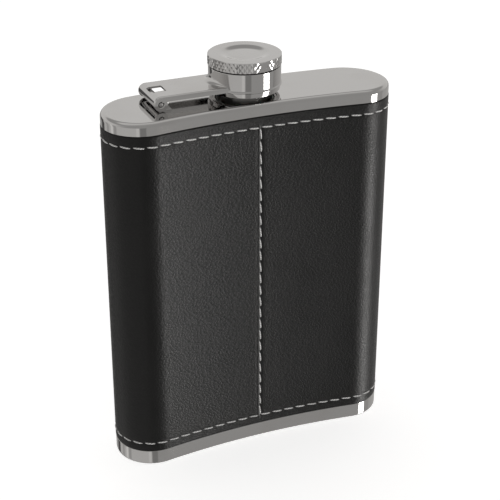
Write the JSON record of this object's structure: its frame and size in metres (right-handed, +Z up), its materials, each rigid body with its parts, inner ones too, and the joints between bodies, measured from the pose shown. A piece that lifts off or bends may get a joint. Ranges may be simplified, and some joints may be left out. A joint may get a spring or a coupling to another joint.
{
  "type": "hip flask",
  "caption": "Kidney-shaped pocket flask, leather-wrapped steel body with flat polished shoulder, captive screw cap on a hinged side arm.",
  "frame": {"origin": "centre of the flask's box, on the plane that it stands on", "axes": "+Z up the flask, +X along its width, away from the hinge end, and +Y towards the bulging side"},
  "size_m": [0.0944, 0.0284, 0.1311],
  "materials": {
    "polished_steel": "bright polished stainless steel",
    "plain_steel": "satin stainless steel",
    "black_leather": "fine pebble grain, semi-matt",
    "grey_thread": "twisted polyester thread",
    "liner_plastic": "moulded, satin",
    "seal_rubber": "moulded silicone"
  },
  "bodies": {
    "flask": {"body_tube": "plain_steel", "shoulder_pan": "polished_steel", "base_pan": "polished_steel", "leather_wrap": "black_leather", "top_stitching": "grey_thread", "bottom_stitching": "grey_thread", "seam_stitching": "grey_thread", "neck": "plain_steel", "hinge_bracket": "polished_steel"},
    "arm": {"cap_arm": "polished_steel", "hinge_pin": "plain_steel"},
    "cap": {"cap_shell": "polished_steel", "cap_collar": "polished_steel", "cap_liner": "liner_plastic", "cap_seal": "seal_rubber"}
  },
  "joints": [
    {"name": "arm_swing", "type": "hinge", "parent": "flask", "child": "arm", "pos_m": [-0.02975, 0.00121, 0.1209], "axis": [0, -1, 0], "range_deg": [0, 90]},
    {"name": "cap_turn", "type": "hinge", "parent": "arm", "child": "cap", "pos_m": [0, 0.00121, 0.1311], "axis": [0, 0, 1], "continuous": true}
  ]
}
